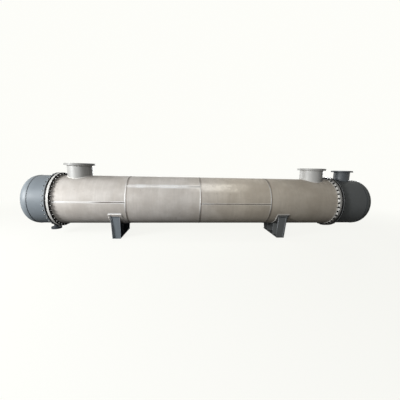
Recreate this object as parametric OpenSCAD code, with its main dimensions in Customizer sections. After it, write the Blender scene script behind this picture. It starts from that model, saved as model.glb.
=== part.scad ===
// Horizontal shell-and-tube acid cooler on two saddles.
// Stainless shell and acid nozzles, painted water channels bolted to the tube sheets.
// Millimetres, +Z up, +X along the shell, -Y towards the front.
// The origin is on the floor, midway between the two saddles.

/* [Shell] */
// Bore of the shell and of the water channels
shell_bore = 1000; // [900:10:1100]
// Wall of the shell plates
shell_wall = 16; // [10:1:20]
// Length of the left plate course, which is cut to suit
left_course = 1410; // [1200:10:1600]
// Length of each of the other three plate courses
full_course = 1500; // [1300:10:1700]
// Thickness of the tube sheets
tubesheet_t = 40; // [32:1:60]

/* [Tube bundle] */
// Outside diameter of the tubes
tube_od = 38; // [25:1:40]
// Wall of the tubes
tube_wall = 2; // [1:0.5:3]
// Triangular pitch of the tubes
tube_pitch = 48; // [46:1:64]
// Gap between the shell and the tube bundle
bundle_gap = 70; // [60:5:150]

/* [Body flanges] */
// Width of the channel flanges around the barrels
body_flange_w = 60; // [55:1:90]
// Distance of the body bolt circle from the flange rim
body_edge = 20; // [17:0.5:24]
// Number of body bolts
body_bolts = 36; // [24:4:40]
// Diameter of the body bolt holes
body_hole_d = 22; // [18:1:24]
// Thickness of the channel flanges
channel_flange_t = 40; // [32:1:60]
// Thickness of the channel gaskets
gasket_t = 12; // [3:0.5:14]
// Radial width of the channel gaskets
gasket_w = 20; // [10:1:22]

/* [Water channels] */
// Wall of the channel barrels and heads
channel_wall = 10; // [6:1:14]
// Length of the left channel from its flange face to the head seam
left_channel_length = 380; // [320:5:500]
// Length of the right channel from its flange face to the head seam
right_channel_length = 620; // [540:5:720]
// Straight collar of the dished heads
head_collar = 20; // [12:1:50]
// Inside crown radius of the dished heads
head_crown_r = 940; // [800:10:1100]
// Inside knuckle radius of the dished heads
head_knuckle_r = 160; // [120:5:200]

/* [Acid nozzles] */
// Outside diameter of the acid necks
acid_neck_od = 480; // [400:2:500]
// Wall of the acid necks
acid_neck_wall = 10; // [6:1:14]
// Distance from the tube sheet to the middle of the nozzle
acid_inset = 360; // [320:5:500]
// Height of the flange face over the shell
acid_standout = 255; // [180:5:350]
// Width of the acid flanges around the necks
acid_flange_w = 57.5; // [50:0.5:80]
// Thickness of the acid flanges
acid_flange_t = 44; // [24:1:56]
// Number of bolt holes in an acid flange
acid_bolts = 16; // [12:4:20]

/* [Water nozzles] */
// Outside diameter of the water necks
water_neck_od = 325; // [219:1:340]
// Wall of the water necks
water_neck_wall = 8; // [5:1:12]
// Distance from the head seam to the middle of the nozzles
water_seam_gap = 267; // [200:1:300]
// Height of the flange faces over the channel
water_standout = 225; // [160:5:300]
// Width of the water flanges around the necks
water_flange_w = 57.5; // [50:0.5:80]
// Thickness of the water flanges
water_flange_t = 36; // [20:1:46]
// Number of bolt holes in a water flange
water_bolts = 12; // [8:4:16]

/* [Drain] */
// Outside diameter of the drain neck
drain_neck_od = 89; // [60:1:100]
// Wall of the drain neck
drain_neck_wall = 6; // [3:0.5:8]
// Distance from the tube sheet to the middle of the drain
drain_inset = 180; // [170:2:230]
// Depth of the drain face under the channel
drain_standout = 145; // [90:5:180]
// Width of the drain flange around the neck
drain_flange_w = 55.5; // [46:0.5:66]
// Thickness of the drain flange
drain_flange_t = 40; // [16:1:44]
// Number of bolt holes in the drain flange
drain_bolts = 8; // [4:4:8]

/* [Nozzle flanges] */
// Distance of the acid and water bolt circles from the flange rims
nozzle_edge = 22.5; // [18:0.5:26]
// Distance of the drain bolt circle from the flange rim
drain_edge = 20; // [16:0.5:22]
// Diameter of the bolt holes in the acid and water flanges
nozzle_hole_d = 22; // [18:1:24]
// Diameter of the bolt holes in the drain flange
drain_hole_d = 18; // [14:1:20]
// Height of the raised gasket faces
raised_face = 3; // [1:0.5:5]
// Width of the step between the raised face and the bolt holes
raised_step = 6; // [2:1:8]
// Depth of the neck end inside its flange
neck_recess = 8; // [4:1:12]
// Clearance between a neck or barrel and the flange slipped over it
slip_gap = 0.3; // [0.1:0.1:0.8]

/* [Saddles] */
// Height of the shell over the floor
shell_height = 260; // [220:5:320]
// Distance from the tube sheet to the middle of the saddle pad
saddle_inset = 1185; // [1000:5:1400]
// Width of the pads along the shell
pad_w = 260; // [230:5:320]
// Thickness of the pads
pad_t = 10; // [6:1:16]
// Angle of shell that the pads wrap
pad_angle = 126; // [110:1:140]
// Angle of the pad past each top corner of the web
pad_end_angle = 2.5; // [1:0.5:6]
// Thickness of the webs
web_t = 10; // [6:1:16]
// Width of the saddle under the pad
saddle_top_w = 184; // [174:1:220]
// Width of the base plates
base_w = 166; // [140:2:168]
// Length of the base plates across the shell
base_l = 760; // [680:10:840]
// Thickness of the base plates
base_t = 12; // [8:1:20]
// Thickness of the ribs
rib_t = 10; // [6:1:16]
// Distance of the end ribs from the ends of the web at the base plate
rib_inset = 30; // [15:1:60]
// The same distance at the pad
rib_top_inset = 14; // [8:1:40]
// Distance between the two middle ribs
rib_spacing = 340; // [280:5:380]
// Distance between the two anchor holes of a saddle
anchor_spacing = 520; // [470:5:560]
// Diameter of the anchor holes
anchor_d = 24; // [18:1:30]

/* [Hidden] */
$fn = 96;
cut = 1;
stainless = [0.76, 0.76, 0.73];
bright_steel = [0.84, 0.84, 0.82];
blue_grey = [0.42, 0.47, 0.5];
dark_grey = [0.25, 0.26, 0.27];
black = [0.08, 0.08, 0.08];

shell_r = shell_bore / 2 + shell_wall;
axis_z = shell_height + shell_r;
shell_end = (left_course + 3 * full_course) / 2;
sheet_end = shell_end + tubesheet_t;
flange_end = sheet_end + gasket_t;
channel_r = shell_bore / 2 + channel_wall;
bundle_d = shell_bore - 2 * bundle_gap;
body_flange_od = 2 * (channel_r + body_flange_w);
body_pcd = body_flange_od - 2 * body_edge;
left_seam = flange_end + left_channel_length;
right_seam = flange_end + right_channel_length;
acid_x = shell_end - acid_inset;
acid_face = shell_r + acid_standout;
acid_flange_od = acid_neck_od + 2 * acid_flange_w;
acid_pcd = acid_flange_od - 2 * nozzle_edge;
water_x = right_seam - water_seam_gap;
water_face = channel_r + water_standout;
water_flange_od = water_neck_od + 2 * water_flange_w;
water_pcd = water_flange_od - 2 * nozzle_edge;
drain_x = sheet_end + drain_inset;
drain_face = channel_r + drain_standout;
drain_flange_od = drain_neck_od + 2 * drain_flange_w;
drain_pcd = drain_flange_od - 2 * drain_edge;
gasket_od = body_pcd - body_hole_d - 2 * raised_step;

pad_r = shell_r + pad_t;
saddle_x = shell_end - saddle_inset;
web_out = saddle_x + saddle_top_w / 2;
web_in = web_out - web_t;
base_in = web_out - base_w;
rib_in = web_out - saddle_top_w;
anchor_x = (base_in + web_in) / 2;
web_top_angle = pad_angle / 2 - pad_end_angle;
web_top_y = pad_r * sin(web_top_angle);
web_top_z = axis_z - pad_r * cos(web_top_angle);
web_lean = (web_top_y - base_l / 2) / (web_top_z - base_t);
web_cut_z = web_top_z + 40;
web_cut_out = web_lean * (web_cut_z - base_t);

// Puts children drawn along +Z onto the shell's axis, from x along +X
module on_axis(x) {
    translate([x, 0, axis_z]) rotate([0, 90, 0]) children();
}

// Puts children drawn along +Z onto a nozzle's line: 0 points up, 90 to the rear, 180 down
module on_nozzle(x, turn) {
    translate([x, 0, axis_z]) rotate([-turn, 0, 0]) children();
}

module to_left() {
    mirror([1, 0, 0]) children();
}

// Ring of holes that straddles the centre lines
module bolt_holes(pcd, count, hole_d, t) {
    for (i = [0 : count - 1])
        rotate(360 * (i + 0.5) / count)
            translate([pcd / 2, 0, -cut]) cylinder(d = hole_d, h = t + 2 * cut);
}

module tube(od, id, h) {
    difference() {
        cylinder(d = od, h = h);
        translate([0, 0, -cut]) cylinder(d = id, h = h + 2 * cut);
    }
}

// Tube from the inside of a round wall out to a flange
module neck(od, wall, wall_ir, face) {
    difference() {
        cylinder(d = od, h = face - neck_recess);
        translate([0, 0, -cut]) cylinder(d = od - 2 * wall, h = face + 2 * cut);
        rotate([0, 90, 0]) cylinder(r = wall_ir, h = 2 * od, center = true);
    }
}

// Slip-on flange whose raised face ends at height face
module nozzle_flange(od, t, pcd, count, hole_d, neck_od, face) {
    plate_t = t - raised_face;
    translate([0, 0, face - t]) difference() {
        union() {
            cylinder(d = od, h = plate_t);
            cylinder(d = pcd - hole_d - 2 * raised_step, h = t);
        }
        translate([0, 0, -cut]) cylinder(d = neck_od + 2 * slip_gap, h = t + 2 * cut);
        bolt_holes(pcd, count, hole_d, t);
    }
}

// Rolled plate course from x0 to x1 of the shell
module course(x0, x1) {
    color(stainless) difference() {
        on_axis(x0) tube(2 * shell_r, shell_bore, x1 - x0);
        for (side = [-1, 1])
            on_nozzle(side * acid_x, 0) cylinder(d = acid_neck_od, h = acid_face);
    }
}

module shell_course_1() {
    course(-shell_end, shell_end - 3 * full_course);
}

module shell_course_2() {
    course(shell_end - 3 * full_course, shell_end - 2 * full_course);
}

module shell_course_3() {
    course(shell_end - 2 * full_course, shell_end - full_course);
}

module shell_course_4() {
    course(shell_end - full_course, shell_end);
}

module tubesheet() {
    color(bright_steel) on_axis(shell_end) difference() {
        cylinder(d = body_flange_od, h = tubesheet_t);
        bolt_holes(body_pcd, body_bolts, body_hole_d, tubesheet_t);
    }
}

module left_tubesheet() {
    to_left() tubesheet();
}

module right_tubesheet() {
    tubesheet();
}

// Tubes on a triangular pitch, from tube sheet to tube sheet
module tube_bundle() {
    row_step = tube_pitch * sin(60);
    rows = floor(bundle_d / 2 / row_step);
    reach = bundle_d / 2 - tube_od / 2;
    color(bright_steel) on_axis(-shell_end)
        for (row = [-rows : rows], i = [-rows - 1 : rows + 1]) {
            x = row * row_step;
            y = (i + (row % 2 == 0 ? 0 : 0.5)) * tube_pitch;
            if (norm([x, y]) <= reach)
                translate([x, y, 0]) tube(tube_od, tube_od - 2 * tube_wall, 2 * shell_end);
        }
}

module gasket() {
    color(black) on_axis(sheet_end) tube(gasket_od, gasket_od - 2 * gasket_w, gasket_t);
}

module left_gasket() {
    to_left() gasket();
}

module right_gasket() {
    gasket();
}

module channel_flange(paint) {
    color(paint) on_axis(flange_end) difference() {
        tube(body_flange_od, 2 * (channel_r + slip_gap), channel_flange_t);
        bolt_holes(body_pcd, body_bolts, body_hole_d, channel_flange_t);
    }
}

module left_channel_flange() {
    to_left() channel_flange(blue_grey);
}

module right_channel_flange() {
    channel_flange(dark_grey);
}

module channel_barrel(seam) {
    start = flange_end + neck_recess;
    on_axis(start) tube(2 * channel_r, shell_bore, seam - start);
}

module left_channel_barrel() {
    color(blue_grey) difference() {
        to_left() channel_barrel(left_seam);
        on_nozzle(-drain_x, 180) cylinder(d = drain_neck_od, h = drain_face);
    }
}

module right_channel_barrel() {
    color(dark_grey) difference() {
        channel_barrel(right_seam);
        for (turn = [0, 90])
            on_nozzle(water_x, turn) cylinder(d = water_neck_od, h = water_face);
    }
}

// Half section of a dished volume: a collar, a knuckle arc and a crown arc, all tangent
module dish_section(r, crown_r, knuckle_r) {
    knuckle_x = r - knuckle_r;
    reach = crown_r - knuckle_r;
    drop = sqrt(reach * reach - knuckle_x * knuckle_x);
    far = 2 * crown_r / reach;
    square([r, head_collar]);
    translate([0, head_collar]) intersection() {
        square([r, r]);
        union() {
            translate([knuckle_x, 0]) circle(r = knuckle_r);
            intersection() {
                translate([0, -drop]) circle(r = crown_r);
                polygon([[0, -drop], [knuckle_x * far, drop * (far - 1)], [0, drop * (far - 1)]]);
            }
        }
    }
}

module head(seam) {
    on_axis(seam) rotate_extrude() difference() {
        dish_section(channel_r, head_crown_r + channel_wall, head_knuckle_r + channel_wall);
        dish_section(shell_bore / 2, head_crown_r, head_knuckle_r);
    }
}

module left_head() {
    color(blue_grey) to_left() head(left_seam);
}

module right_head() {
    color(dark_grey) head(right_seam);
}

module acid_neck(x) {
    color(stainless) on_nozzle(x, 0) neck(acid_neck_od, acid_neck_wall, shell_bore / 2, acid_face);
}

module acid_flange(x) {
    color(stainless) on_nozzle(x, 0)
        nozzle_flange(acid_flange_od, acid_flange_t, acid_pcd, acid_bolts, nozzle_hole_d,
            acid_neck_od, acid_face);
}

module left_acid_neck() {
    acid_neck(-acid_x);
}

module left_acid_flange() {
    acid_flange(-acid_x);
}

module right_acid_neck() {
    acid_neck(acid_x);
}

module right_acid_flange() {
    acid_flange(acid_x);
}

module water_neck(turn) {
    color(dark_grey) on_nozzle(water_x, turn)
        neck(water_neck_od, water_neck_wall, shell_bore / 2, water_face);
}

module water_flange(turn) {
    color(dark_grey) on_nozzle(water_x, turn)
        nozzle_flange(water_flange_od, water_flange_t, water_pcd, water_bolts, nozzle_hole_d,
            water_neck_od, water_face);
}

module top_water_neck() {
    water_neck(0);
}

module top_water_flange() {
    water_flange(0);
}

module rear_water_neck() {
    water_neck(90);
}

module rear_water_flange() {
    water_flange(90);
}

module drain_neck() {
    color(blue_grey) on_nozzle(-drain_x, 180)
        neck(drain_neck_od, drain_neck_wall, shell_bore / 2, drain_face);
}

module drain_flange() {
    color(blue_grey) on_nozzle(-drain_x, 180)
        nozzle_flange(drain_flange_od, drain_flange_t, drain_pcd, drain_bolts, drain_hole_d,
            drain_neck_od, drain_face);
}

// Curved wear plate under the shell
module saddle_pad() {
    color(stainless) on_axis(saddle_x - pad_w / 2)
        rotate(-pad_angle / 2) rotate_extrude(angle = pad_angle)
            translate([shell_r, 0]) square([pad_t, pad_w]);
}

// Draws a flat outline, given across the shell and up, as a plate from x0 to x1
module cross_plate(x0, x1) {
    translate([x0, 0, 0]) rotate([90, 0, 90]) linear_extrude(x1 - x0) children();
}

// Room that the pad and shell take out of the plates below
module shell_room() {
    on_axis(0) cylinder(r = pad_r, h = shell_end);
}

module saddle_web() {
    color(dark_grey) difference() {
        cross_plate(web_in, web_out)
            polygon([[-base_l / 2, base_t], [base_l / 2, base_t],
                [base_l / 2 + web_cut_out, web_cut_z], [-base_l / 2 - web_cut_out, web_cut_z]]);
        shell_room();
    }
}

// Flat outline of an end rib, leaning almost as the end of the web does
module end_rib_outline() {
    foot = base_l / 2 - rib_inset;
    top = base_l / 2 + web_cut_out - rib_top_inset;
    polygon([[foot - rib_t, base_t], [foot, base_t], [top, web_cut_z], [top - rib_t, web_cut_z]]);
}

module middle_rib_outline() {
    translate([rib_spacing / 2 - rib_t / 2, base_t]) square([rib_t, web_top_z - base_t]);
}

// Ribs on the inner side of the web, narrower at the base plate than at the pad
module saddle_ribs() {
    color(dark_grey) difference() {
        cross_plate(rib_in, web_in)
            for (side = [0, 1]) mirror([side, 0]) {
                end_rib_outline();
                middle_rib_outline();
            }
        shell_room();
        rotate([90, 0, 0]) linear_extrude(2 * base_l, center = true)
            polygon([[rib_in - cut, base_t - cut], [base_in, base_t - cut], [base_in, base_t],
                [rib_in, web_top_z], [rib_in - cut, web_top_z]]);
    }
}

module saddle_base() {
    color(dark_grey) difference() {
        translate([base_in, -base_l / 2, 0]) cube([base_w, base_l, base_t]);
        for (side = [-1, 1])
            translate([anchor_x, side * anchor_spacing / 2, -cut])
                cylinder(d = anchor_d, h = base_t + 2 * cut);
    }
}

module left_saddle_pad() {
    to_left() saddle_pad();
}

module left_saddle_web() {
    to_left() saddle_web();
}

module left_saddle_ribs() {
    to_left() saddle_ribs();
}

module left_saddle_base() {
    to_left() saddle_base();
}

module right_saddle_pad() {
    saddle_pad();
}

module right_saddle_web() {
    saddle_web();
}

module right_saddle_ribs() {
    saddle_ribs();
}

module right_saddle_base() {
    saddle_base();
}

shell_course_1();
shell_course_2();
shell_course_3();
shell_course_4();
left_tubesheet();
right_tubesheet();
tube_bundle();
left_gasket();
right_gasket();
left_channel_flange();
right_channel_flange();
left_channel_barrel();
right_channel_barrel();
left_head();
right_head();
left_acid_neck();
left_acid_flange();
right_acid_neck();
right_acid_flange();
top_water_neck();
top_water_flange();
rear_water_neck();
rear_water_flange();
drain_neck();
drain_flange();
left_saddle_pad();
left_saddle_web();
left_saddle_ribs();
left_saddle_base();
right_saddle_pad();
right_saddle_web();
right_saddle_ribs();
right_saddle_base();
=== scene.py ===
"""Looks of a horizontal acid cooler: finishes, weld beads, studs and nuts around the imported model."""
import math

import bpy
import numpy as np
from mathutils import Matrix, Vector


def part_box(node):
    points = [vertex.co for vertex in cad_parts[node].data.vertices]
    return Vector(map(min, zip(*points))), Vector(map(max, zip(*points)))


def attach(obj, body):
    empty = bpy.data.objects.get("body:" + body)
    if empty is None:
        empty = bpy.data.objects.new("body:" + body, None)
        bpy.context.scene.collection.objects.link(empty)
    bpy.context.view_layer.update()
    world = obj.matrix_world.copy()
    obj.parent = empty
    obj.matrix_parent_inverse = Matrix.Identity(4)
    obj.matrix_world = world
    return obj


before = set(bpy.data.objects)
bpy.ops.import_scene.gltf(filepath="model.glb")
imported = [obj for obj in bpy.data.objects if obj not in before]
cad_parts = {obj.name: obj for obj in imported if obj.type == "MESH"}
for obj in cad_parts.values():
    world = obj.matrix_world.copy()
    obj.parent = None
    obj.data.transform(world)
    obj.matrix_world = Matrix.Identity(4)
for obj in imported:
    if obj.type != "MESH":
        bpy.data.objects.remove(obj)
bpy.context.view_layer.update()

# Sizes read from the frame, in metres
shell_low, shell_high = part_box("shell_course_2")
SHELL_R = (shell_high.y - shell_low.y) / 2
AXIS_Z = (shell_low.z + shell_high.z) / 2
GIRTH_WELDS = [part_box(f"shell_course_{i}")[1].x for i in (1, 2, 3)]
SHELL_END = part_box("shell_course_4")[1].x
COURSE_STARTS = [-SHELL_END] + GIRTH_WELDS
COURSE_ENDS = GIRTH_WELDS + [SHELL_END]
SHEET_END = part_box("right_tubesheet")[1].x
FLANGE_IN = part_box("right_channel_flange")[0].x
FLANGE_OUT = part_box("right_channel_flange")[1].x
CHANNEL_R = -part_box("right_channel_barrel")[0].y
LEFT_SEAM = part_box("left_channel_barrel")[0].x
RIGHT_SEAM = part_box("right_channel_barrel")[1].x
LEFT_NOZZLE_X = sum(corner.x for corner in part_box("left_acid_neck")) / 2
RIB_EDGES = [corner.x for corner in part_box("right_saddle_ribs")]
pad_low, pad_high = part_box("right_saddle_pad")
PAD_MIDDLES = [-(pad_low.x + pad_high.x) / 2, (pad_low.x + pad_high.x) / 2]
PAD_HALF = (pad_high.x - pad_low.x) / 2
PAD_T = 0.010
PAD_WRAP = math.radians(126)
WEB_WRAP = math.radians(121)

# Body bolting: studs through the tube sheets and channel flanges, with heavy hexagon nuts
BODY_PCD = 1.100
BODY_STUDS = 36
STUD_D = 0.020
STUD_END = 0.012
STUD_SIDES = 20
THREAD_PITCH = 0.0025
THREAD_DEPTH = 0.0012
TIP_CHAMFER = 0.0015
TIP_INSET = 0.0018
NUT_ACROSS_FLATS = 0.034
NUT_T = 0.020
NUT_SIDES = 12
# Width of a nut's flat end, as a share of the width across flats
NUT_FACE = 0.96
NUT_CHAMFER = math.radians(30)
# Depth of the chamfer in the middle of a flat, as a share of that at a corner
NUT_FLAT_CHAMFER = 0.3
# Each nut was tightened to its own angle, up to this much off the radial
NUT_TURN = 0.4
NUT_TURN_STEP = 7.0
WASHER_D = 0.037
WASHER_T = 0.003
WASHER_SIDES = 28
WASHER_EDGE_IN = 0.0006
WASHER_EDGE_DOWN = 0.0005
SHARP_EDGE = math.radians(40)
BOLT_SHARP_EDGE = math.radians(25)

# Weld beads
BUTT_W = 0.016
BUTT_H = 0.003
BUTT_SINK = 0.001
BUTT_RIPPLE = 0.22
BUTT_POINTS = 7
FILLET_SINK = 0.0008
FILLET_DIP = 0.10
FILLET_RIPPLE = 0.05
FILLET_POINTS = 5
RIPPLE_STEP = 0.006
RIPPLE_LENGTH = 2.3 * RIPPLE_STEP
RING_POINTS = 96
NECK_POINTS = 60
SHEET_LEG = 0.014
HUB_LEG = 0.010
ACID_ROOT_LEG = 0.012
ACID_COLLAR_LEG = 0.009
WATER_ROOT_LEG = 0.010
WATER_COLLAR_LEG = 0.008
DRAIN_ROOT_LEG = 0.008
DRAIN_COLLAR_LEG = 0.006
WEB_LEG = 0.010
RIB_BEAD_W = 0.018
RIB_BEAD_H = 0.006
# Downward lean of the bead on a rib's outer side
RIB_BEAD_LEAN = -0.3
# Angle of each course's long seam, up from the front
SEAM_ANGLES = [math.radians(a) for a in (2, 41, 0, 150)]
CHANNEL_SEAM_ANGLE = math.radians(150)

# Ground and marked places of the plate. Pairs are the distances where a mark starts to fade and is gone
GIRTH_BAND = (0.012, 0.024)
# Heights over the axis where the plate and the bead beside the girth welds are bright: grinding, kept to
# this height as a painted highlight
GIRTH_BAND_LEVEL = 0.08
GIRTH_BAND_REACH = (0.16, 0.40)
GIRTH_BEAD_LEVEL = 0.13
GIRTH_BEAD_REACH = (0.12, 0.34)
# Half width of the strip along each long seam, bright from grinding, and how much wider its faded edge
# is; the second course's wider strip is partly a painted highlight
SEAM_STRIPS = [0.012, 0.026, 0.012, 0.012]
SEAM_FADE = 2.2
SEAM_STOP = 0.001
END_BAND = (0.035, 0.055)
END_GROUND = 0.3
PAD_FADE = 0.004
PAD_END_BAND = (0.012, 0.022)
PAD_END_LEVEL = -SHELL_R * math.cos(PAD_WRAP / 2) + PAD_END_BAND[0]
# Distance of the heat tint from the middle of a girth weld
TINT_OFFSET = 0.020
TINT_BAND = (0.008, 0.016)
# Painted highlight: a patch of sheen up on the third course
SHEEN_ANGLE = math.radians(40)
SHEEN_ARC = (0.03, 0.15)
SHEEN_X = 0.33
SHEEN_LENGTH = (0.25, 0.80)
# Painted shade on top of the shell round the left nozzle, where the nozzle and the ring shade it, from
# this height over the axis
NOZZLE_SHADE_HEIGHT = (0.40, 0.53)
NOZZLE_SHADE_LENGTH = (0.45, 1.00)
# Places along the shell between which the painted tint turns from cool lamp light at the left to warm
# shade at the right
LIGHT_TINT_SPAN = (-0.6, 0.9)
# Bright ring round the bolt circle, and the height over the axis that is left lit, with painted shade
# above and below it
BOLT_FACE = (0.012, 0.026)
LIT_LEVEL = 0.12
LIT_REACH = (0.24, 0.48)
# Paint worn off the edges of the saddle ribs
WORN_EDGE = (0.004, 0.016)
# Painted shade on the channel flanges beside the gaskets, for the dark gap there
GAP_SHADE_BAND = 0.018

# Colours of the plate, from its base to what lies on it
PLATE_DARK = (0.365, 0.326, 0.277, 1)
PLATE_LIGHT = (0.480, 0.441, 0.388, 1)
PLATE_TINT = (0.445, 0.398, 0.355, 1)
ROLL_LINES = (0.33, 0.31, 0.28, 1)
STREAK = (0.31, 0.28, 0.245, 1)
STAIN = (0.30, 0.27, 0.235, 1)
MARK = (0.23, 0.20, 0.17, 1)
# Bright from grinding, and in places a painted highlight
GROUND_AND_SHEEN_PLATE = (0.66, 0.65, 0.62, 1)
HEAT_TINT = (0.17, 0.14, 0.115, 1)
# Painted highlight on the third course
PAINTED_SHEEN = (0.72, 0.67, 0.60, 1)
# Painted tint of light and shade on the plate: cool where the lamp falls at the left, warm in the shade
# at the right
COOL_LIT_TINT = (1.025, 1.043, 1.090, 1)
WARM_SHADE_TINT = (1.025, 0.995, 0.932, 1)
# Painted shade on the shell top round the left nozzle
NOZZLE_SHADE = (0.10, 0.09, 0.075, 1)

# Other colours, the pairs from dark to light
NOZZLE = (0.372, 0.366, 0.349, 1)
# Painted shade on the right tube sheet's face at its top and bottom
SHEET_SHADE = (0.035, 0.031, 0.027, 1)
# Bright bead steel: grinding, and in part a painted highlight
GROUND_AND_SHEEN_STEEL = (0.68, 0.66, 0.63, 1)
# Painted shade of the gap beside the gaskets
GAP_SHADE_BLACK = (0.012, 0.012, 0.012, 1)
WORN_PAINT = (0.36, 0.37, 0.39, 1)
PAINT_DUST = (0.30, 0.30, 0.29, 1)
PAINT = ((0.120, 0.135, 0.147, 1), (0.165, 0.185, 0.200, 1))
DULL_PAINT = ((0.115, 0.120, 0.118, 1), (0.160, 0.166, 0.163, 1))
# Drain paint, dark: painted shade under the channel
DRAIN_SHADE_PAINT = ((0.040, 0.045, 0.050, 1), (0.060, 0.066, 0.072, 1))
# Channel flange paints lighter than the channel paint: painted light on the flanges' lit faces and edges
LEFT_FLANGE_LIT_PAINT = ((0.20, 0.217, 0.23, 1), (0.25, 0.27, 0.285, 1))
RIGHT_FLANGE_LIT_PAINT = ((0.22, 0.225, 0.23, 1), (0.28, 0.285, 0.285, 1))
# Near black face of the left tube sheet: painted shade, the face being turned from the light
SHADED_FACE_BLACK = ((0.010, 0.009, 0.008, 1), (0.018, 0.017, 0.015, 1))
TURNED = ((0.42, 0.41, 0.39, 1), (0.54, 0.53, 0.505, 1))
POLISHED = ((0.50, 0.49, 0.465, 1), (0.62, 0.61, 0.58, 1))
DULL = ((0.30, 0.29, 0.27, 1), (0.40, 0.39, 0.365, 1))
DULL_FACE = ((0.24, 0.225, 0.205, 1), (0.31, 0.295, 0.27, 1))
GASKET = ((0.012, 0.012, 0.012, 1), (0.035, 0.034, 0.033, 1))
TUBE = ((0.36, 0.35, 0.33, 1), (0.52, 0.51, 0.49, 1))
BLACK_BOLTING = ((0.005, 0.005, 0.005, 1), (0.012, 0.012, 0.011, 1))
OILED_BOLTING = ((0.010, 0.010, 0.010, 1), (0.022, 0.021, 0.020, 1))
# Near white for the left stud ends: painted highlight, where they catch the light
LIT_STUD_BOLTING = ((0.78, 0.78, 0.76, 1), (0.90, 0.90, 0.88, 1))
SEAM_WELD = ((0.085, 0.068, 0.055, 1), (0.14, 0.115, 0.095, 1))
RAW_WELD = ((0.12, 0.11, 0.10, 1), (0.20, 0.185, 0.165, 1))
# Dark bead at the left tube sheet: painted shade beside the ring
SHADED_ROOT_WELD = ((0.07, 0.065, 0.06, 1), (0.12, 0.11, 0.10, 1))
BRIGHT_WELD = ((0.50, 0.48, 0.45, 1), (0.64, 0.62, 0.585, 1))
PAD_WELD = ((0.37, 0.355, 0.33, 1), (0.47, 0.45, 0.42, 1))
# Dark beads on the painted parts: painted shade of the bead edges and gaps
DARK_SHADE_WELD = ((0.042, 0.047, 0.052, 1), (0.060, 0.066, 0.072, 1))

# Camera, from the photograph
CAMERA_AT = (-0.400, -4.588, AXIS_Z + 0.713)
CAMERA_YAW = 0.0846
CAMERA_PITCH = -0.1530
CAMERA_ROLL = 0.0218
FOCAL_PX = 203.08
IMAGE_PX = 400
SENSOR_MM = 36.0
CAMERA_FAR = 200

# Area lamps: place, aim, width and height, watts and spread
LAMPS = {
    "key": ((-7.4, -3.9, 2.6), (-1.0, 0.0, 0.8), (2.2, 2.2), 790, math.pi),
    "fill": ((-2.5, -6.4, 3.0), (0.0, 0.0, 0.8), (2.5, 2.5), 185, math.pi),
    "top": ((0.5, -0.1, 4.0), (0.5, 0.0, 0.8), (2.4, 0.8), 7, math.radians(80)),
    "rear": ((-2.6, 8.0, 1.9), (0.0, 0.0, 0.75), (3.0, 2.0), 225, math.pi),
    "side": ((8.0, 5.5, 1.9), (3.8, 0.0, 0.75), (2.5, 2.0), 26, math.radians(45)),
}
LAMP_COLOR = (0.965, 0.985, 1.0)
BACKDROP = (0.985, 0.985, 0.945, 1)
WHITE = (1, 1, 1, 1)
AMBIENT_DIM = 0.0
AMBIENT_BRIGHT = 0.12
# Direction the soft light comes from, and the cosines between which it grows
AMBIENT_FROM = (-0.72, -0.60, 0.35)
AMBIENT_SPAN = (-0.5, 1.0)

# Floor, pale to the camera and dark to every other ray
FLOOR_REACH = 60.0
FLOOR_PALE = (0.90, 0.90, 0.87, 1)
FLOOR_DARK = (0.05, 0.05, 0.047, 1)
FLOOR_NEAR = 4.0
FLOOR_FAR = 9.0
# Share of plain white in the floor near the cooler, as the camera and as the metal see it
FLOOR_GLOW_SEEN = 0.89
FLOOR_GLOW_MIRRORED = 0.12


class Graph:
    """Short calls for building a node tree."""

    def __init__(self, tree):
        self.tree = tree
        self.tree.nodes.clear()

    def add(self, kind, inputs=None, **settings):
        node = self.tree.nodes.new(kind)
        for key, value in settings.items():
            setattr(node, key, value)
        for key, value in (inputs or {}).items():
            self.put(value, node.inputs[key])
        return node

    def put(self, value, socket):
        if isinstance(value, bpy.types.NodeSocket):
            self.tree.links.new(value, socket)
        else:
            socket.default_value = value

    def math(self, operation, a, b=0.0):
        node = self.add("ShaderNodeMath", operation=operation)
        self.put(a, node.inputs[0])
        self.put(b, node.inputs[1])
        return node.outputs[0]

    def mix(self, factor, a, b, blend="MIX"):
        node = self.add("ShaderNodeMix", data_type="RGBA", blend_type=blend)
        self.put(factor, node.inputs["Factor"])
        self.put(a, node.inputs[6])
        self.put(b, node.inputs[7])
        return node.outputs[2]

    def ramp(self, value, low, high, out_low=0.0, out_high=1.0):
        node = self.add("ShaderNodeMapRange", interpolation_type="SMOOTHSTEP")
        self.put(value, node.inputs["Value"])
        node.inputs["From Min"].default_value = low
        node.inputs["From Max"].default_value = high
        node.inputs["To Min"].default_value = out_low
        node.inputs["To Max"].default_value = out_high
        return node.outputs["Result"]

    def noise(self, vector, scale, detail=4.0, roughness=0.55):
        node = self.add("ShaderNodeTexNoise", {"Vector": vector, "Scale": scale})
        node.inputs["Detail"].default_value = detail
        node.inputs["Roughness"].default_value = roughness
        return node.outputs["Fac"]

    def stretch(self, vector, scale):
        node = self.add("ShaderNodeVectorMath", operation="MULTIPLY")
        self.put(vector, node.inputs[0])
        node.inputs[1].default_value = scale
        return node.outputs[0]

    def bump(self, height, strength, distance):
        node = self.add("ShaderNodeBump", {"Height": height})
        node.inputs["Strength"].default_value = strength
        node.inputs["Distance"].default_value = distance
        return node.outputs["Normal"]

    def place(self):
        """Position on the piece, which is the frame's own position."""
        return self.add("ShaderNodeTexCoord").outputs["Object"]

    def split(self, vector):
        return self.add("ShaderNodeSeparateXYZ", {"Vector": vector}).outputs


def new_material(name):
    material = bpy.data.materials.new(name)
    material.use_nodes = True
    return material, Graph(material.node_tree)


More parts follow.
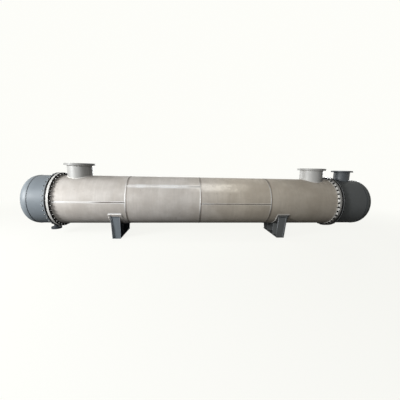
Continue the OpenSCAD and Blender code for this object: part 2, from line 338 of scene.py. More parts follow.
def finish_material(graph, color, roughness, normal=None, metallic=0.0, specular=0.1):
    shader = graph.add("ShaderNodeBsdfPrincipled", {"Metallic": metallic, "Specular IOR Level": specular})
    graph.put(color, shader.inputs["Base Color"])
    graph.put(roughness, shader.inputs["Roughness"])
    if normal is not None:
        graph.put(normal, shader.inputs["Normal"])
    graph.add("ShaderNodeOutputMaterial", {"Surface": shader.outputs[0]})


def shade(color, factor):
    """The same colour, lighter or darker."""
    red, green, blue, alpha = color
    return red * factor, green * factor, blue * factor, alpha


def shade_pair(pair, factor):
    return tuple(shade(color, factor) for color in pair)


def near(graph, value, places, inner, outer):
    """1 within inner of any of the places, falling to 0 at outer."""
    total = 0.0
    for place in places:
        offset = graph.math("ABSOLUTE", graph.math("SUBTRACT", value, place))
        total = graph.math("MAXIMUM", graph.ramp(offset, inner, outer, 1.0, 0.0), total)
    return total


def ground_and_sheen_share(graph, place, x, height, arc):
    """Where the plate is bright: from grinding beside the welds and at its right end, with painted
    highlights at mid height by the girth welds, along the second course's seam and along the saddle pads'
    top edges, stronger at the left.
    """
    girth = near(graph, x, GIRTH_WELDS, *GIRTH_BAND)
    girth = graph.math("MULTIPLY", girth, near(graph, height, [GIRTH_BAND_LEVEL], *GIRTH_BAND_REACH))
    seams = 0.0
    for start, end, seam, half in zip(COURSE_STARTS, COURSE_ENDS, SEAM_ANGLES, SEAM_STRIPS):
        reach = (end - start) / 2
        inside = near(graph, x, [(start + end) / 2], reach, reach + SEAM_STOP)
        strip = near(graph, arc, [seam * SHELL_R], half, SEAM_FADE * half)
        seams = graph.math("MAXIMUM", graph.math("MULTIPLY", inside, strip), seams)
    patchy = graph.ramp(graph.noise(place, scale=2.6, detail=3.0), 0.4, 0.6, 0.45, 1.0)
    ground_and_sheen = graph.math("MULTIPLY", graph.math("MAXIMUM", girth, seams), patchy)
    end_band = near(graph, x, [SHELL_END], *END_BAND)
    ground_and_sheen = graph.math("MAXIMUM", ground_and_sheen, graph.math("MULTIPLY", end_band, END_GROUND))
    pads = near(graph, x, PAD_MIDDLES, PAD_HALF, PAD_HALF + PAD_FADE)
    pads = graph.math("MULTIPLY", pads, near(graph, height, [PAD_END_LEVEL], *PAD_END_BAND))
    # painted highlight along the pad edges, stronger at the left where the lamp falls
    lit_from_left = graph.ramp(x, -1.0, 1.0, 1.0, 0.3)
    return graph.math("MAXIMUM", ground_and_sheen, graph.math("MULTIPLY", pads, lit_from_left))


def sheen_share(graph, place, x, arc):
    """Where a painted highlight lies on the plate, patchy."""
    patch = near(graph, arc, [SHEEN_ANGLE * SHELL_R], *SHEEN_ARC)
    patch = graph.math("MULTIPLY", patch, near(graph, x, [SHEEN_X], *SHEEN_LENGTH))
    patchy = graph.ramp(graph.noise(place, scale=6.0, detail=5.0, roughness=0.65), 0.36, 0.62, 0.35, 0.95)
    return graph.math("MULTIPLY", patch, patchy)


def shell_material():
    """Pickled rolled plate with places bright from grinding, heat tint, painted highlights, a painted
    tint of light and shade, and painted shade round the left nozzle.
    """
    material, graph = new_material("stainless_plate")
    place = graph.place()
    x, y, z = graph.split(place)
    front = graph.math("MULTIPLY", y, -1.0)
    height = graph.math("SUBTRACT", z, AXIS_Z)
    arc = graph.math("MULTIPLY", graph.math("ARCTAN2", height, front), SHELL_R)
    rolled = graph.noise(graph.stretch(place, (60.0, 2.5, 2.5)), scale=1.0, detail=5.0)
    clouds = graph.noise(place, scale=2.2, detail=4.0, roughness=0.6)
    tint = graph.noise(graph.stretch(place, (1.0, 1.0, 3.0)), scale=3.1, detail=2.0)
    stains = graph.ramp(graph.noise(place, scale=7.0, detail=6.0, roughness=0.7), 0.58, 0.72)
    streaks = graph.noise(graph.stretch(place, (15.0, 1.8, 1.8)), scale=1.0, detail=3.0)
    marks = graph.ramp(graph.noise(place, scale=12.0, detail=3.0), 0.66, 0.74)
    # bright from grinding, with painted highlights
    ground_and_sheen = ground_and_sheen_share(graph, place, x, height, arc)
    tinted = near(graph, x, [weld + TINT_OFFSET for weld in GIRTH_WELDS], *TINT_BAND)
    layers = [
        (graph.math("MULTIPLY", tint, 0.35), PLATE_TINT),
        (graph.ramp(rolled, 0.3, 0.7, 0.0, 0.22), ROLL_LINES),
        (graph.ramp(streaks, 0.38, 0.62, 0.0, 0.20), STREAK),
        (graph.math("MULTIPLY", stains, 0.22), STAIN),
        (graph.math("MULTIPLY", marks, 0.40), MARK),
        (graph.math("MULTIPLY", ground_and_sheen, 0.75), GROUND_AND_SHEEN_PLATE),
        (graph.math("MULTIPLY", tinted, 0.7), HEAT_TINT),
        # painted highlight on the third course
        (sheen_share(graph, place, x, arc), PAINTED_SHEEN),
    ]
    color = graph.mix(graph.ramp(clouds, 0.34, 0.66), PLATE_DARK, PLATE_LIGHT)
    for share, layer in layers:
        color = graph.mix(share, color, layer)
    # painted tint: cool lamp light at the left, warm shade at the right
    light_tint = graph.mix(graph.ramp(x, *LIGHT_TINT_SPAN), COOL_LIT_TINT, WARM_SHADE_TINT)
    color = graph.mix(1.0, color, light_tint, "MULTIPLY")
    # painted shade on the shell top round the left nozzle
    nozzle_shade = graph.math("MULTIPLY", graph.ramp(height, *NOZZLE_SHADE_HEIGHT),
                         near(graph, x, [LEFT_NOZZLE_X], *NOZZLE_SHADE_LENGTH))
    nozzle_shade = graph.math("MULTIPLY", nozzle_shade, graph.ramp(streaks, 0.3, 0.7, 0.45, 0.65))
    color = graph.mix(nozzle_shade, color, NOZZLE_SHADE)
    roughness = graph.ramp(rolled, 0.2, 0.8, 0.50, 0.60)
    normal = graph.bump(rolled, strength=0.12, distance=0.0006)
    finish_material(graph, color, roughness, normal, metallic=0.02, specular=0.4)
    return material


def machined_material(name, face, plain, rim, shade_share=0.0):
    """Turned stainless with fine rings round the shell's axis.

    Pairs of colours are given for the bolt circle's face, the rest of the face and the rim.
    The last argument is the share of painted shade at the top and bottom.
    """
    material, graph = new_material(name)
    coordinates = graph.add("ShaderNodeTexCoord")
    place = coordinates.outputs["Object"]
    facing = graph.split(coordinates.outputs["Normal"])["X"]
    on_face = graph.ramp(graph.math("ABSOLUTE", facing), 0.5, 0.7)
    _, y, z = graph.split(place)
    height = graph.math("SUBTRACT", z, AXIS_Z)
    square = graph.math("ADD", graph.math("POWER", height, 2.0), graph.math("POWER", y, 2.0))
    radius = graph.math("SQRT", square)
    turning = {"W": graph.math("MULTIPLY", radius, 900.0)}
    rings = graph.add("ShaderNodeTexNoise", turning, noise_dimensions="1D").outputs["Fac"]
    clouds = graph.noise(place, scale=6.0, detail=4.0, roughness=0.6)
    spot_faced = near(graph, radius, [BODY_PCD / 2], *BOLT_FACE)
    face_color = graph.mix(spot_faced, graph.mix(clouds, *plain), graph.mix(clouds, *face))
    color = graph.mix(on_face, graph.mix(clouds, *rim), face_color)
    # painted shade at the top and bottom of the face
    shaded_part = graph.math("SUBTRACT", 1.0, near(graph, height, [LIT_LEVEL], *LIT_REACH))
    color = graph.mix(graph.math("MULTIPLY", shaded_part, shade_share), color, SHEET_SHADE)
    roughness = graph.ramp(rings, 0.3, 0.7, 0.30, 0.42)
    normal = graph.bump(rings, strength=0.15, distance=0.0004)
    finish_material(graph, color, roughness, normal, metallic=0.04)
    return material


def neck_material(name, brightness, specular):
    """Stainless nozzle pipe or plate, smoother than the shell; brightness gives lit or shaded copies of
    it, which is painted light and shade.
    """
    material, graph = new_material(name)
    place = graph.place()
    color = shade(NOZZLE, brightness)
    drawn = graph.noise(graph.stretch(place, (3.0, 3.0, 70.0)), scale=1.0, detail=4.0)
    clouds = graph.noise(place, scale=5.0, detail=4.0, roughness=0.6)
    mottled = graph.mix(clouds, shade(color, 0.90), shade(color, 1.11))
    mottled = graph.mix(graph.ramp(drawn, 0.3, 0.7, 0.0, 0.2), mottled, shade(color, 0.96))
    roughness = graph.ramp(drawn, 0.2, 0.8, 0.40, 0.50)
    normal = graph.bump(drawn, strength=0.05, distance=0.0005)
    finish_material(graph, mottled, roughness, normal, metallic=0.04, specular=specular)
    return material


def paint_material(name, colors, specular, joint=False, edges=()):
    """Sprayed satin paint with orange peel and a few scuffs.

    joint paints shade on the edge beside the gasket, for the dark gap there, and edges are the X places
    where the paint is worn.
    """
    material, graph = new_material(name)
    place = graph.place()
    x = graph.split(place)["X"]
    clouds = graph.noise(place, scale=3.5, detail=4.0, roughness=0.6)
    peel = graph.noise(place, scale=420.0, detail=2.0)
    scraped = graph.noise(graph.stretch(place, (9.0, 9.0, 40.0)), scale=1.0, detail=6.0, roughness=0.7)
    scuffs = graph.ramp(scraped, 0.64, 0.74)
    color = graph.mix(clouds, *colors)
    color = graph.mix(graph.math("MULTIPLY", scuffs, 0.25), color, PAINT_DUST)
    if edges:
        patchy = graph.ramp(clouds, 0.3, 0.6, 0.5, 1.0)
        worn = graph.math("MULTIPLY", near(graph, x, edges, *WORN_EDGE), patchy)
        color = graph.mix(worn, color, WORN_PAINT)
    # painted shade beside the gasket, for the dark gap there
    if joint:
        offset = graph.math("ABSOLUTE", x)
        beside = graph.ramp(offset, FLANGE_IN + GAP_SHADE_BAND, FLANGE_IN + 2 * GAP_SHADE_BAND, 1.0, 0.0)
        color = graph.mix(beside, color, GAP_SHADE_BLACK)
    roughness = graph.ramp(clouds, 0.3, 0.7, 0.42, 0.54)
    normal = graph.bump(peel, strength=0.08, distance=0.0006)
    finish_material(graph, color, roughness, normal, specular=specular)
    return material


def weld_material(name, colors, metallic, ground_and_sheen=None, level=None):
    """Rippled bead; the argument after metallic gives the X range over which it turns from bright to its
    own dark colour.

    level keeps the bright part near one height over the axis. The bright part stands for grinding on some
    beads, and for a painted highlight where the lamp falls from the left on others.
    """
    material, graph = new_material(name)
    place = graph.place()
    patches = graph.noise(place, scale=60.0, detail=3.0, roughness=0.6)
    color = graph.mix(patches, *colors)
    if ground_and_sheen is not None:
        x, _, z = graph.split(place)
        share = graph.ramp(x, *ground_and_sheen, 1.0, 0.0)
        if level is not None:
            at_level = near(graph, z, [AXIS_Z + level], *GIRTH_BEAD_REACH)
            share = graph.math("MULTIPLY", share, at_level)
        color = graph.mix(share, color, GROUND_AND_SHEEN_STEEL)
    roughness = graph.ramp(patches, 0.3, 0.7, 0.24, 0.36)
    normal = graph.bump(patches, strength=0.2, distance=0.0008)
    finish_material(graph, color, roughness, normal, metallic)
    return material


def bolt_material(name, colors):
    """Dull or blackened steel with handling marks; the near white of the left studs is a painted
    highlight.
    """
    material, graph = new_material(name)
    spots = graph.noise(graph.place(), scale=90.0, detail=4.0, roughness=0.65)
    roughness = graph.ramp(spots, 0.3, 0.7, 0.26, 0.40)
    normal = graph.bump(spots, strength=0.1, distance=0.0005)
    finish_material(graph, graph.mix(spots, *colors), roughness, normal, metallic=0.2)
    return material


def gasket_material():
    """Pressed fibre sheet."""
    material, graph = new_material("gasket")
    fibres = graph.noise(graph.stretch(graph.place(), (40.0, 220.0, 220.0)), scale=1.0, detail=4.0)
    roughness = graph.ramp(fibres, 0.2, 0.8, 0.7, 0.9)
    normal = graph.bump(fibres, strength=0.2, distance=0.0006)
    finish_material(graph, graph.mix(fibres, *GASKET), roughness, normal)
    return material


def tube_material():
    """Drawn stainless tube."""
    material, graph = new_material("tubes")
    drawn = graph.noise(graph.stretch(graph.place(), (2.0, 60.0, 60.0)), scale=1.0, detail=4.0)
    roughness = graph.ramp(drawn, 0.2, 0.8, 0.28, 0.4)
    finish_material(graph, graph.mix(drawn, *TUBE), roughness, metallic=0.6)
    return material


def node_finishes():
    """Finish of each CAD node, under its own name or under a word that its family shares."""
    plate = shell_material()
    dull_paint = paint_material("dull_channel_paint", DULL_PAINT, specular=0.06)
    left_saddle = paint_material("saddle_paint", PAINT, specular=0.03)
    # right saddle web and base darker: painted shade
    right_saddle = paint_material("shaded_saddle_paint", shade_pair(DULL_PAINT, 0.55), specular=0.03)
    left_edges = [-x for x in RIB_EDGES]
    return {
        "shell_course": plate,
        # left nozzle darker and right nozzle lighter: painted shade and painted light that even out the
        # lamp's fall-off
        "left_acid_neck": neck_material("left_nozzle_steel_shaded", brightness=0.79, specular=0.38),
        "left_acid_flange": neck_material("left_nozzle_plate_shaded", brightness=0.60, specular=0.30),
        "right_acid_neck": neck_material("right_nozzle_steel_lit", brightness=1.16, specular=0.46),
        "right_acid_flange": neck_material("right_nozzle_plate_lit", brightness=0.90, specular=0.36),
        # left tube sheet face near black: painted shade
        "left_tubesheet": machined_material("shaded_sheet", SHADED_FACE_BLACK, SHADED_FACE_BLACK, TURNED),
        # right tube sheet face: painted shade at its top and bottom
        "right_tubesheet": machined_material("bright_sheet", POLISHED, DULL_FACE, DULL, shade_share=0.9),
        "gasket": gasket_material(),
        "tube_bundle": tube_material(),
        # water nozzles at half the channel paint's brightness: painted shade
        "water": paint_material("water_nozzle_shade_paint", shade_pair(PAINT, 0.5), specular=0.42),
        # drain dark: painted shade under the channel
        "drain": paint_material("drain_shade_paint", DRAIN_SHADE_PAINT, specular=0.05),
        # channel flanges painted lighter: painted light
        "left_channel_flange": paint_material("left_flange_lit_paint", LEFT_FLANGE_LIT_PAINT, 0.1, joint=True),
        "right_channel_flange": paint_material("right_flange_lit_paint", RIGHT_FLANGE_LIT_PAINT, 0.1, joint=True),
        "left_channel_barrel": paint_material("channel_paint", PAINT, specular=0.22),
        "left_head": paint_material("left_head_paint", PAINT, specular=0.38),
        "right_channel_barrel": dull_paint,
        "right_head": dull_paint,
        "left_saddle_pad": plate,
        # right pad dark: painted shade under the shell
        "right_saddle_pad": neck_material("shaded_pad_steel", brightness=0.42, specular=0.2),
        "left_saddle_web": left_saddle,
        "left_saddle_base": left_saddle,
        "left_saddle_ribs": paint_material("saddle_rib_paint", PAINT, 0.03, edges=left_edges),
        "right_saddle_web": right_saddle,
        "right_saddle_base": right_saddle,
        "right_saddle_ribs": paint_material("dull_rib_paint", DULL_PAINT, 0.03, edges=RIB_EDGES),
    }


def dress_nodes(finishes):
    """Gives every CAD node its finish."""
    for name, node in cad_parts.items():
        word = next(word for word in finishes if word in name)
        node.data.materials.clear()
        node.data.materials.append(finishes[word])


def add_piece(name, verts, faces, slot, material, smooth_angle=SHARP_EDGE):
    mesh = bpy.data.meshes.new(name)
    mesh.from_pydata([tuple(v) for v in verts], [], faces)
    mesh.validate()
    mesh.shade_smooth()
    mesh.set_sharp_from_angle(angle=smooth_angle)
    mesh.materials.append(material)
    piece = bpy.data.objects.new(name, mesh)
    bpy.context.scene.collection.objects.link(piece)
    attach(piece, "root")


def join(parts):
    """One list of points and faces from several."""
    verts, faces = [], []
    for part_verts, part_faces in parts:
        start = len(verts)
        verts.extend(part_verts)
        faces.extend([tuple(i + start for i in face) for face in part_faces])
    return verts, faces


def turned(profile, sides):
    """Closed solid turned round +Z from (radius, height) pairs that start and end off the axis."""
    verts = []
    for radius, height in profile:
        for i in range(sides):
            a = 2 * math.pi * i / sides
            verts.append((radius * math.cos(a), radius * math.sin(a), height))
    return verts, ring_faces(len(profile), sides)


def ring_faces(rings, sides):
    """Faces of a solid made of rings of points, with both ends closed."""
    last = (rings - 1) * sides
    faces = [tuple(range(sides))[::-1], tuple(last + i for i in range(sides))]
    for ring_index in range(rings - 1):
        a, b = ring_index * sides, (ring_index + 1) * sides
        for i in range(sides):
            j = (i + 1) % sides
            faces.append((a + i, a + j, b + j, b + i))
    return faces


def hex_nut():
    """Hexagon nut from z = 0 to its height, with both faces chamfered."""
    flat_r = NUT_ACROSS_FLATS / 2
    corner_r = flat_r / math.cos(math.pi / 6)
    face_r = flat_r * NUT_FACE
    chamfer = (corner_r - face_r) * math.tan(NUT_CHAMFER)
    flat_chamfer = chamfer * NUT_FLAT_CHAMFER
    rings = [(face_r, face_r, 0.0, 0.0),
             (corner_r, flat_r, chamfer, flat_chamfer),
             (corner_r, flat_r, NUT_T - chamfer, NUT_T - flat_chamfer),
             (face_r, face_r, NUT_T, NUT_T)]
    verts = []
    for corner, flat, corner_z, flat_z in rings:
        for i in range(NUT_SIDES):
            r, z = (corner, corner_z) if i % 2 == 0 else (flat, flat_z)
            a = 2 * math.pi * i / NUT_SIDES
            verts.append((r * math.cos(a), r * math.sin(a), z))
    return verts, ring_faces(len(rings), NUT_SIDES)


def threaded_end(length):
    """Stud end from z = 0 to its length, with thread grooves and a chamfered tip."""
    crest = STUD_D / 2
    root = crest - THREAD_DEPTH
    profile = [(crest, 0.0)]
    z = THREAD_PITCH / 2
    while z < length - THREAD_PITCH:
        profile.extend([(root, z), (crest, z + THREAD_PITCH / 2)])
        z += THREAD_PITCH
    profile.extend([(crest, length - TIP_CHAMFER), (crest - TIP_INSET, length)])
    return turned(profile, STUD_SIDES)


def flat_washer():
    """Washer from z = 0 to its thickness, with its edges broken."""
    outer = WASHER_D / 2
    inner = outer - WASHER_EDGE_IN
    edge = WASHER_EDGE_DOWN
    profile = [(inner, 0.0), (outer, edge), (outer, WASHER_T - edge), (inner, WASHER_T)]
    return turned(profile, WASHER_SIDES)


def moved(part, matrix):
    verts, faces = part
    rotation = np.array(matrix.to_3x3())
    offset = np.array(matrix.to_translation())
    return [tuple(rotation @ np.array(v) + offset) for v in verts], faces


def seat(x, angle, way):
    """Turns +Z along X, on the bolt circle."""
    y = BODY_PCD / 2 * math.cos(angle)
    z = AXIS_Z + BODY_PCD / 2 * math.sin(angle)
    return Matrix.Translation((x, y, z)) @ Matrix.Rotation(way * math.pi / 2, 4, "Y")


def stud_set(name, side, nut_material, stud_material):
    """All studs of one body flange joint, with nuts and washers on both faces."""
    nut = hex_nut()
    end = threaded_end(STUD_END)
    washer = flat_washer()
    gap = turned([(STUD_D / 2, 0.0), (STUD_D / 2, FLANGE_IN - SHEET_END)], STUD_SIDES)
    on_washer = Matrix.Translation((0, 0, WASHER_T))
    on_nut = Matrix.Translation((0, 0, WASHER_T + NUT_T))
    nuts, studs = [], []
    for i in range(BODY_STUDS):
        a = 2 * math.pi * (i + 0.5) / BODY_STUDS
        for x, way in ((SHELL_END, -1), (FLANGE_OUT, 1)):
            foot = seat(side * x, a, side * way)
            turn = Matrix.Rotation(a + NUT_TURN * math.sin(NUT_TURN_STEP * i + way), 4, "Z")
            nuts.append(moved(washer, foot))
            nuts.append(moved(nut, foot @ on_washer @ turn))
            studs.append(moved(end, foot @ on_nut))
        studs.append(moved(gap, seat(side * SHEET_END, a, side)))
    add_piece(f"{name}_body_nuts", *join(nuts), "machined_stainless", nut_material, BOLT_SHARP_EDGE)
    add_piece(f"{name}_body_studs", *join(studs), "machined_stainless", stud_material, BOLT_SHARP_EDGE)


def add_bolting():
    # left stud ends near white: painted highlight
    lit_studs = bolt_material("lit_stud_bolting", LIT_STUD_BOLTING)
    black = bolt_material("black_bolting", BLACK_BOLTING)
    stud_set("left", -1, bolt_material("oiled_bolting", OILED_BOLTING), lit_studs)
    stud_set("right", 1, black, black)


def unit(vectors):
    return vectors / np.linalg.norm(vectors, axis=1, keepdims=True)


def sweep(path, normals, profile, closed):
    """Closed solid with the profile's (side, out) outline carried along a path."""
    path, normals = np.array(path), unit(np.array(normals))
    if closed:
        tangents = np.roll(path, -1, 0) - np.roll(path, 1, 0)
    else:
        tangents = np.gradient(path, axis=0)
    sides = np.cross(unit(tangents), normals)
    rings, count = len(path), len(profile(0.0))
    steps = np.concatenate([[0.0], np.cumsum(np.linalg.norm(np.diff(path, axis=0), axis=1))])
    verts = []
    for i in range(rings):
        for across, out in profile(steps[i]):
            verts.append(tuple(path[i] + sides[i] * across + normals[i] * out))
    faces = []
    for i in range(rings if closed else rings - 1):
        a, b = i * count, (i + 1) % rings * count
        for k in range(count):
            m = (k + 1) % count
            faces.append((a + k, b + k, b + m, a + m))
    if not closed:
        faces.append(tuple(range(count)))
        faces.append(tuple((rings - 1) * count + k for k in range(count))[::-1])
    return verts, faces


def butt_profile(width, height):
    """Rippled cap of a butt weld, sunk a little into the plates."""
    def profile(s):
        rise = height * (1 + BUTT_RIPPLE * math.sin(2 * math.pi * s / RIPPLE_LENGTH))
        points = [(-width / 2, -BUTT_SINK)]
        for k in range(BUTT_POINTS):
            a = math.pi * (1 - k / (BUTT_POINTS - 1))
            points.append((width / 2 * math.cos(a), rise * math.sin(a)))
        return points + [(width / 2, -BUTT_SINK)]
    return profile


def fillet_profile(leg):
    """Slightly hollow corner weld with equal legs, seen along the corner."""
    half = leg / math.sqrt(2)

    def profile(s):
        dip = leg * (FILLET_DIP + FILLET_RIPPLE * math.sin(2 * math.pi * s / RIPPLE_LENGTH))
        points = [(0.0, -FILLET_SINK)]
        for k in range(FILLET_POINTS):
            t = k / (FILLET_POINTS - 1) * 2 - 1
            points.append((t * half, half - dip * (1 - t * t)))
        return points
    return profile


def full_turn(radius, least):
    """Angles of a closed ring, one for each ripple step."""
    count = max(least, int(2 * math.pi * radius / RIPPLE_STEP))
    return [2 * math.pi * i / count for i in range(count)]


def lower_arc(radius, wrap):
    """Angles of an arc whose middle is under the shell."""
    count = int(wrap * radius / RIPPLE_STEP)
    return [-math.pi / 2 - wrap / 2 + wrap * i / (count - 1) for i in range(count)]


def around(x, radius, angles, lean=0.0):
    """Path round the shell's axis; lean tips the weld's outward side along X."""
    path, normals = [], []
    for a in angles:
        out = (0.0, -math.cos(a), math.sin(a))
        path.append((x, radius * out[1], AXIS_Z + radius * out[2]))
        normals.append((lean, out[1], out[2]))
    return path, normals


def ring_weld(x, radius, profile, lean=0.0):
    return sweep(*around(x, radius, full_turn(radius, RING_POINTS), lean), profile, True)


def arc_weld(x, radius, wrap, profile, lean):
    return sweep(*around(x, radius, lower_arc(radius, wrap), lean), profile, False)


def seam_path(x0, x1, radius, angle):
    """Straight path along a round wall, and the direction out of the wall."""
    count = int((x1 - x0) / RIPPLE_STEP)
    out = (0.0, -math.cos(angle), math.sin(angle))
    y, z = radius * out[1], AXIS_Z + radius * out[2]
    return [(x0 + (x1 - x0) * i / (count - 1), y, z) for i in range(count)], out


def seam_weld(x0, x1, radius, angle, profile):
    path, out = seam_path(x0, x1, radius, angle)
    return sweep(path, [out] * len(path), profile, False)


def nozzle_weld(x, points, outs, turn, leg):
    """Fillet on a path given for a nozzle that points up, turned to the rear or down with it."""
    rotation = np.array(Matrix.Rotation(-turn, 3, "X"))
    foot = np.array((x, 0.0, AXIS_Z))
    path = [tuple(rotation @ np.array(point) + foot) for point in points]
    normals = [tuple(rotation @ np.array(out)) for out in outs]
    return sweep(path, normals, fillet_profile(leg), True)


def root_weld(x, neck_r, body_r, turn, leg):
    """Fillet where a neck meets a round wall, midway between the two surfaces."""
    points, outs = [], []
    for a in full_turn(neck_r, NECK_POINTS):
        across = neck_r * math.sin(a)
        rise = math.sqrt(body_r ** 2 - across ** 2)
        points.append((neck_r * math.cos(a), across, rise))
        wall = unit(np.array([(0.0, across, rise)]))[0]
        outs.append(wall + np.array((math.cos(a), math.sin(a), 0.0)))
    return nozzle_weld(x, points, outs, turn, leg)


def collar_weld(x, neck_r, height, turn, leg):
    """Fillet round a neck at a height over the shell's axis, under its flange."""
    angles = full_turn(neck_r, NECK_POINTS)
    points = [(neck_r * math.cos(a), neck_r * math.sin(a), height) for a in angles]
    outs = [(math.cos(a), math.sin(a), -1.0) for a in angles]
    return nozzle_weld(x, points, outs, turn, leg)


def pad_welds(pad):
    """Fillets round a saddle pad: two arcs and two straight ends."""
    low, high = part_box(pad)
    fillet = fillet_profile(PAD_T)
    parts = [arc_weld(x, SHELL_R, PAD_WRAP, fillet, way) for x, way in ((low.x, -1.0), (high.x, 1.0))]
    for way in (-1, 1):
        a = -math.pi / 2 + way * PAD_WRAP / 2
        along = np.array((0.0, math.sin(a), math.cos(a))) * way
        path, out = seam_path(low.x, high.x, SHELL_R, a)
        parts.append(sweep(path, [tuple(np.array(out) + along)] * len(path), fillet, False))
    return parts


def saddle_welds(side):
    """Beads between a saddle's pad and its web and end ribs."""
    pad_r = SHELL_R + PAD_T
    low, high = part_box(f"{side}_saddle_web")
    outer, way = (low.x, -1.0) if side == "left" else (high.x, 1.0)
    parts = [arc_weld(outer, pad_r, WEB_WRAP, fillet_profile(WEB_LEG), way)]
    low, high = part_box(f"{side}_saddle_ribs")
    bead = butt_profile(RIB_BEAD_W, RIB_BEAD_H)
    for y, way in ((low.y, -1.0), (high.y, 1.0)):
        drop = math.sqrt(pad_r ** 2 - y ** 2)
        straight, _ = seam_path(low.x, high.x, pad_r, 0.0)
        path = [(x, y, AXIS_Z - drop) for x, _, _ in straight]
        parts.append(sweep(path, [(0.0, way, RIB_BEAD_LEAN)] * len(path), bead, False))
    return parts


def cylinder_of(node):
    """Middle x and radius of a nozzle piece."""
    low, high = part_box(node)
    return (low.x + high.x) / 2, (high.x - low.x) / 2


def add_shell_welds():
    butt = butt_profile(BUTT_W, BUTT_H)
    girth = [ring_weld(x, SHELL_R, butt) for x in GIRTH_WELDS]
    # girth beads bright towards the left and at one height: grinding with a painted highlight from the
    # lamp at the left
    girth_look = weld_material("girth_weld", RAW_WELD, metallic=0.15, ground_and_sheen=(0.3, 2.8),
                               level=GIRTH_BEAD_LEVEL)
    add_piece("shell_girth_welds", *join(girth), "stainless_plate", girth_look)
    # long seam beads bright at the far left only: painted highlight
    steel = weld_material("steel_weld", SEAM_WELD, metallic=0.05, ground_and_sheen=(-2.35, -1.95))
    # second course's seam bead bright along most of its length, fading to the right: grinding with a
    # painted highlight
    ground_and_sheen = weld_material("ground_and_sheen_weld", RAW_WELD, metallic=0.15, ground_and_sheen=(-0.45, -0.05))
    for i, look in enumerate((steel, ground_and_sheen, steel, steel)):
        seam = seam_weld(COURSE_STARTS[i], COURSE_ENDS[i], SHELL_R, SEAM_ANGLES[i], butt)
        add_piece(f"shell_long_weld_{i + 1}", *seam, "stainless_plate", look)


def add_sheet_welds(right_look):
    # dark bead at the left tube sheet: painted shade beside the ring
    root = weld_material("root_weld", SHADED_ROOT_WELD, metallic=0.10)
    for name, side, look in (("left", -1, root), ("right", 1, right_look)):
        sheet = ring_weld(side * SHELL_END, SHELL_R, fillet_profile(SHEET_LEG), -side)
        add_piece(f"{name}_tubesheet_weld", *sheet, "stainless_plate", look)


def add_channel_welds(painted):
    butt = butt_profile(BUTT_W, BUTT_H)
    hubs = [ring_weld(side * FLANGE_OUT, CHANNEL_R, fillet_profile(HUB_LEG), side) for side in (-1, 1)]
    dusted = weld_material("dusted_weld", PAINT, metallic=0.0)
    add_piece("flange_hub_welds", *join(hubs), "channel_paint", dusted)
    channel = [ring_weld(x, CHANNEL_R, butt) for x in (LEFT_SEAM, RIGHT_SEAM)]
    for start, end in ((LEFT_SEAM, -FLANGE_OUT), (FLANGE_OUT, RIGHT_SEAM)):
        channel.append(seam_weld(start, end, CHANNEL_R, CHANNEL_SEAM_ANGLE, butt))
    add_piece("channel_welds", *join(channel), "channel_paint", painted)


def add_nozzle_welds(painted):
    acid, water = [], []
    for side in ("left", "right"):
        x, radius = cylinder_of(f"{side}_acid_neck")
        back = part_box(f"{side}_acid_flange")[0].z - AXIS_Z
        acid.append(root_weld(x, radius, SHELL_R, 0.0, ACID_ROOT_LEG))
        acid.append(collar_weld(x, radius, back, 0.0, ACID_COLLAR_LEG))
    bright = weld_material("bright_weld", BRIGHT_WELD, metallic=0.10)
    add_piece("acid_nozzle_welds", *join(acid), "stainless_plate", bright)
    x, radius = cylinder_of("top_water_neck")
    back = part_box("top_water_flange")[0].z - AXIS_Z
    for turn in (0.0, math.pi / 2):
        water.append(root_weld(x, radius, CHANNEL_R, turn, WATER_ROOT_LEG))
        water.append(collar_weld(x, radius, back, turn, WATER_COLLAR_LEG))
    x, radius = cylinder_of("drain_neck")
    back = AXIS_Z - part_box("drain_flange")[1].z
    water.append(root_weld(x, radius, CHANNEL_R, math.pi, DRAIN_ROOT_LEG))
    water.append(collar_weld(x, radius, back, math.pi, DRAIN_COLLAR_LEG))
    add_piece("water_nozzle_welds", *join(water), "channel_paint", painted)


def add_welds():
    """Every weld bead that shows, joined by place."""
    # dark beads on channels, water nozzles and saddles: painted shade
    painted = weld_material("dark_shade_weld", DARK_SHADE_WELD, metallic=0.0)
    # pad and right tube sheet beads bright towards the left: painted highlight where the lamp falls
    pad_look = weld_material("pad_weld", PAD_WELD, metallic=0.10, ground_and_sheen=(-1.0, 1.0))
    add_shell_welds()
    add_sheet_welds(pad_look)
    add_channel_welds(painted)
    add_nozzle_welds(painted)
    pads = pad_welds("left_saddle_pad") + pad_welds("right_saddle_pad")
    add_piece("pad_welds", *join(pads), "stainless_plate", pad_look)
    saddles = saddle_welds("left") + saddle_welds("right")
    add_piece("saddle_welds", *join(saddles), "saddle_paint", painted)


def add_camera():
    data = bpy.data.cameras.new("camera")
    data.sensor_width = SENSOR_MM
    data.lens = FOCAL_PX / IMAGE_PX * SENSOR_MM
    data.clip_end = CAMERA_FAR
    camera = bpy.data.objects.new("camera", data)
    bpy.context.scene.collection.objects.link(camera)
    level = Matrix.Rotation(math.pi / 2, 4, "X")
    turn = Matrix.Rotation(-CAMERA_YAW, 4, "Z")
    tip = Matrix.Rotation(CAMERA_PITCH, 4, "X")
    roll = Matrix.Rotation(CAMERA_ROLL, 4, "Z")
    camera.matrix_world = Matrix.Translation(CAMERA_AT) @ turn @ level @ tip @ roll
    bpy.context.scene.camera = camera


def add_area_light(name, at, target, size, watts, spread):
    data = bpy.data.lights.new(name, "AREA")
    data.color = LAMP_COLOR
    data.spread = spread
    data.shape = "RECTANGLE"
    data.size, data.size_y = size
    data.energy = watts
    light = bpy.data.objects.new(name, data)
    bpy.context.scene.collection.objects.link(light)
    away = Vector(at) - Vector(target)
    light.matrix_world = Matrix.Translation(at) @ away.to_track_quat("Z", "Y").to_matrix().to_4x4()


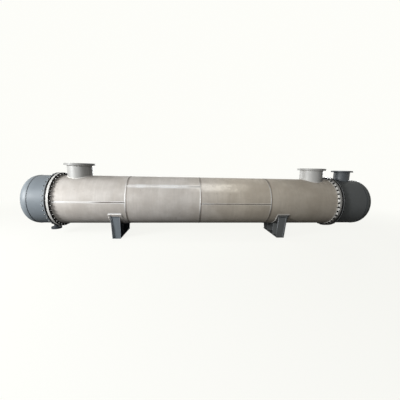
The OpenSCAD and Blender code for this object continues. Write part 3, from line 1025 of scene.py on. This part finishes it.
def seen_rays(graph):
    """1 for rays that show the backdrop: from the camera, or mirrored in the metal."""
    rays = graph.add("ShaderNodeLightPath")
    seen = graph.math("MAXIMUM", rays.outputs["Is Camera Ray"], rays.outputs["Is Glossy Ray"])
    return graph.math("MAXIMUM", seen, rays.outputs["Is Transmission Ray"])


def add_light():
    """Lamps, and a world that is a white backdrop to the eye and a soft light to the surfaces."""
    for name, lamp in LAMPS.items():
        add_area_light(name, *lamp)
    world = bpy.data.worlds.new("studio")
    bpy.context.scene.world = world
    world.use_nodes = True
    graph = Graph(world.node_tree)
    direction = graph.add("ShaderNodeVectorMath", operation="DOT_PRODUCT")
    graph.put(graph.add("ShaderNodeTexCoord").outputs["Generated"], direction.inputs[0])
    direction.inputs[1].default_value = AMBIENT_FROM
    strength = graph.ramp(direction.outputs["Value"], *AMBIENT_SPAN, AMBIENT_DIM, AMBIENT_BRIGHT)
    shown = graph.add("ShaderNodeBackground", {"Color": BACKDROP, "Strength": 1.0})
    ambient = graph.add("ShaderNodeBackground", {"Color": WHITE, "Strength": strength})
    share = seen_rays(graph)
    both = graph.add("ShaderNodeMixShader", {0: share, 1: ambient.outputs[0], 2: shown.outputs[0]})
    graph.add("ShaderNodeOutputWorld", {"Surface": both.outputs[0]})


def floor_material():
    """Pale floor that keeps the shadow near the cooler and fades into the backdrop."""
    material, graph = new_material("pale_floor")
    distance = graph.add("ShaderNodeVectorMath", {0: graph.place()}, operation="LENGTH").outputs["Value"]
    direct = graph.add("ShaderNodeLightPath").outputs["Is Camera Ray"]
    glow = graph.ramp(direct, 0.0, 1.0, FLOOR_GLOW_MIRRORED, FLOOR_GLOW_SEEN)
    fade = graph.ramp(distance, FLOOR_NEAR, FLOOR_FAR)
    missing = graph.math("MULTIPLY", graph.math("SUBTRACT", 1.0, glow), graph.math("SUBTRACT", 1.0, fade))
    share = graph.math("MULTIPLY", seen_rays(graph), graph.math("SUBTRACT", 1.0, missing))
    color = graph.mix(direct, FLOOR_DARK, FLOOR_PALE)
    plain = graph.add("ShaderNodeBsdfDiffuse", {"Color": color})
    bright = graph.add("ShaderNodeEmission", {"Color": BACKDROP, "Strength": 1.0})
    both = graph.add("ShaderNodeMixShader", {0: share, 1: plain.outputs[0], 2: bright.outputs[0]})
    graph.add("ShaderNodeOutputMaterial", {"Surface": both.outputs[0]})
    return material


def add_floor():
    mesh = bpy.data.meshes.new("floor")
    corners = [(FLOOR_REACH * x, FLOOR_REACH * y, 0) for x, y in ((-1, -1), (1, -1), (1, 1), (-1, 1))]
    mesh.from_pydata(corners, [], [(0, 1, 2, 3)])
    mesh.materials.append(floor_material())
    floor = bpy.data.objects.new("floor", mesh)
    bpy.context.scene.collection.objects.link(floor)


add_camera()
dress_nodes(node_finishes())
add_bolting()
add_welds()
add_floor()
add_light()
bpy.context.scene.view_settings.view_transform = "Standard"
